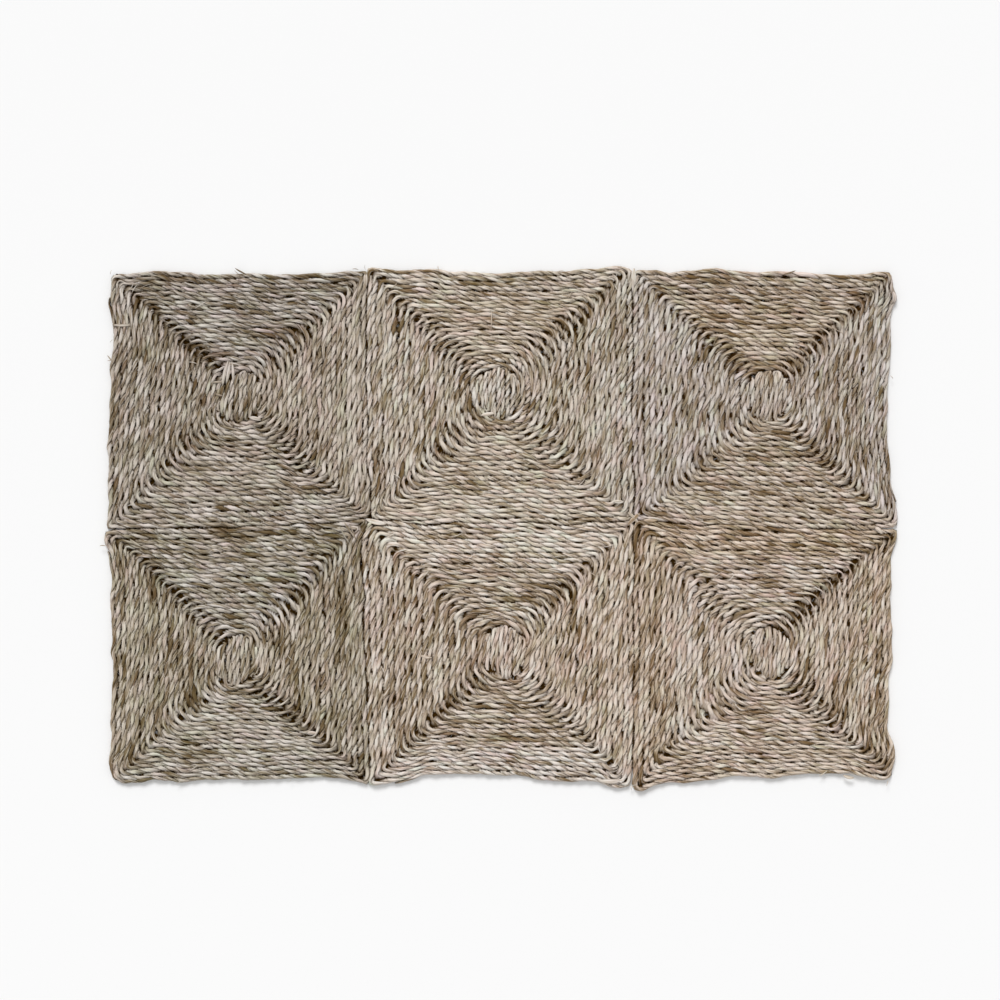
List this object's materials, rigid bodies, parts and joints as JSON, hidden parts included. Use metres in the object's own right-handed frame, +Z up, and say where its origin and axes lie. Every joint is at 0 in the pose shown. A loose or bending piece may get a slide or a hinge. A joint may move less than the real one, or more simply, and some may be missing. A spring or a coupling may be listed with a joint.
{
  "type": "seagrass rug",
  "caption": "Flat rectangular rug of square panels, each a coil of twisted seagrass rope sewn turn to turn, joined edge to edge to lie on a floor.",
  "frame": {"origin": "the middle of the rug's underside, on the floor", "axes": "+X along the long side, to the right as pictured; +Y across it, towards the top of the picture; +Z up from the floor"},
  "size_m": [0.9108, 0.5968, 0.0072],
  "materials": {
    "greyed_seagrass": "dry, matt twisted leaf, greyish brown",
    "silver_seagrass": "dry, matt twisted leaf, light grey",
    "tan_seagrass": "dry, matt twisted leaf, tan",
    "olive_seagrass": "dry, matt twisted leaf, olive beige",
    "pale_seagrass": "dry, matt twisted leaf, pale grey cream",
    "warm_seagrass": "dry, matt twisted leaf, warm tan"
  },
  "bodies": {
    "root": {"panel_far_left": "greyed_seagrass", "panel_far_middle": "silver_seagrass", "panel_far_right": "tan_seagrass", "panel_near_left": "olive_seagrass", "panel_near_middle": "pale_seagrass", "panel_near_right": "warm_seagrass"}
  },
  "joints": []
}
